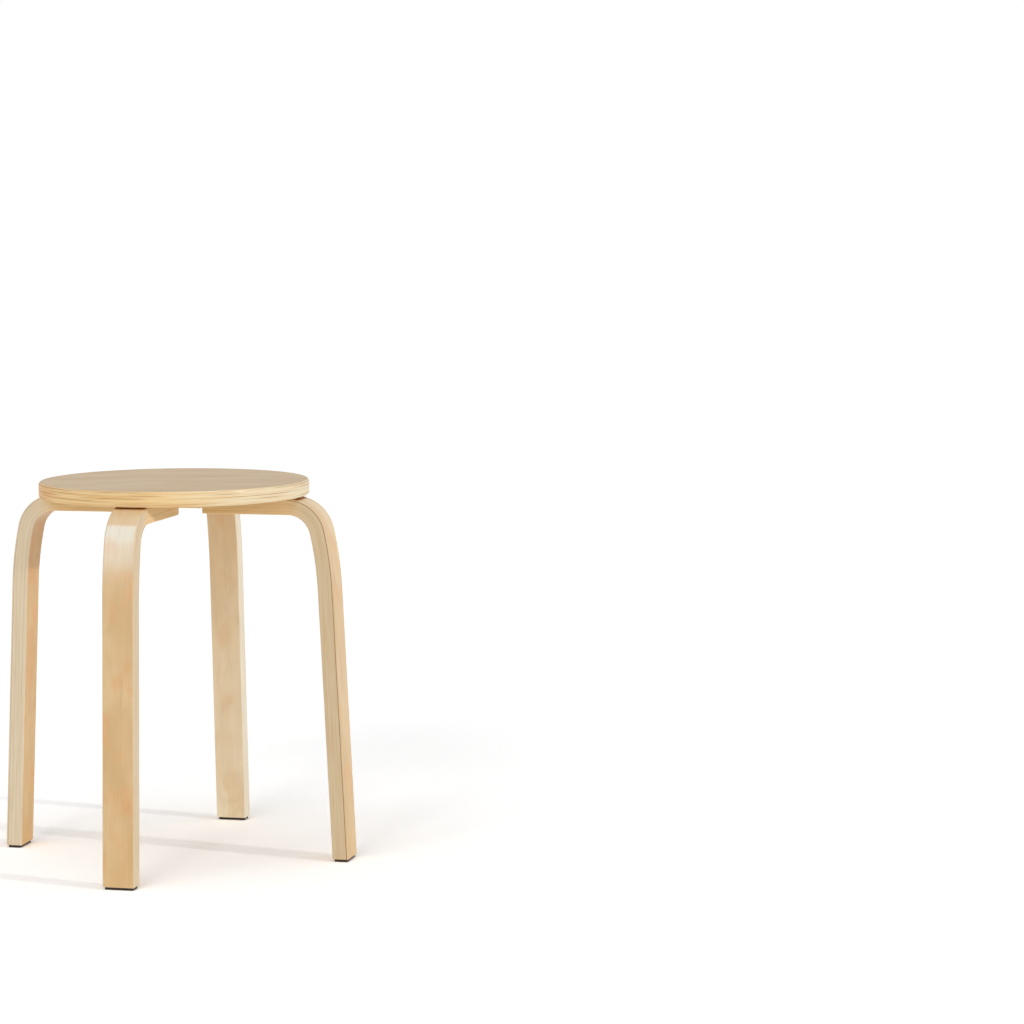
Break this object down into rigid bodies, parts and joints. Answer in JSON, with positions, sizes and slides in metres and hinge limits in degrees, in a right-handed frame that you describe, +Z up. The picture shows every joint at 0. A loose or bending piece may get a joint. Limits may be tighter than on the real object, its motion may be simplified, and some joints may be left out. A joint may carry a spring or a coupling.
{
  "type": "stacking stool",
  "caption": "Round plywood seat on bent laminated wooden legs that splay outward, each with a thin dark foot pad; the stools stack with their legs nested.",
  "frame": {"origin": "on the floor, straight under the middle of the seat", "axes": "+Z up; legs stand on +X (right), +Y (back), -X (left) and -Y (front)"},
  "size_m": [0.4308, 0.4308, 0.45],
  "materials": {
    "seat": "clear satin lacquer on birch plywood",
    "legs": "clear satin lacquer on bent laminated birch",
    "pads": "matt dark brown",
    "bolts": "bright zinc plate",
    "inserts": "zinc plate"
  },
  "bodies": {
    "root": {"seat": "seat", "leg_right": "legs", "leg_back": "legs", "leg_left": "legs", "leg_front": "legs", "foot_pad_right": "pads", "foot_pad_back": "pads", "foot_pad_left": "pads", "foot_pad_front": "pads", "bolt_right_inner": "bolts", "bolt_right_outer": "bolts", "bolt_back_inner": "bolts", "bolt_back_outer": "bolts", "bolt_left_inner": "bolts", "bolt_left_outer": "bolts", "bolt_front_inner": "bolts", "bolt_front_outer": "bolts", "insert_right_inner": "inserts", "insert_right_outer": "inserts", "insert_back_inner": "inserts", "insert_back_outer": "inserts", "insert_left_inner": "inserts", "insert_left_outer": "inserts", "insert_front_inner": "inserts", "insert_front_outer": "inserts"}
  },
  "joints": []
}
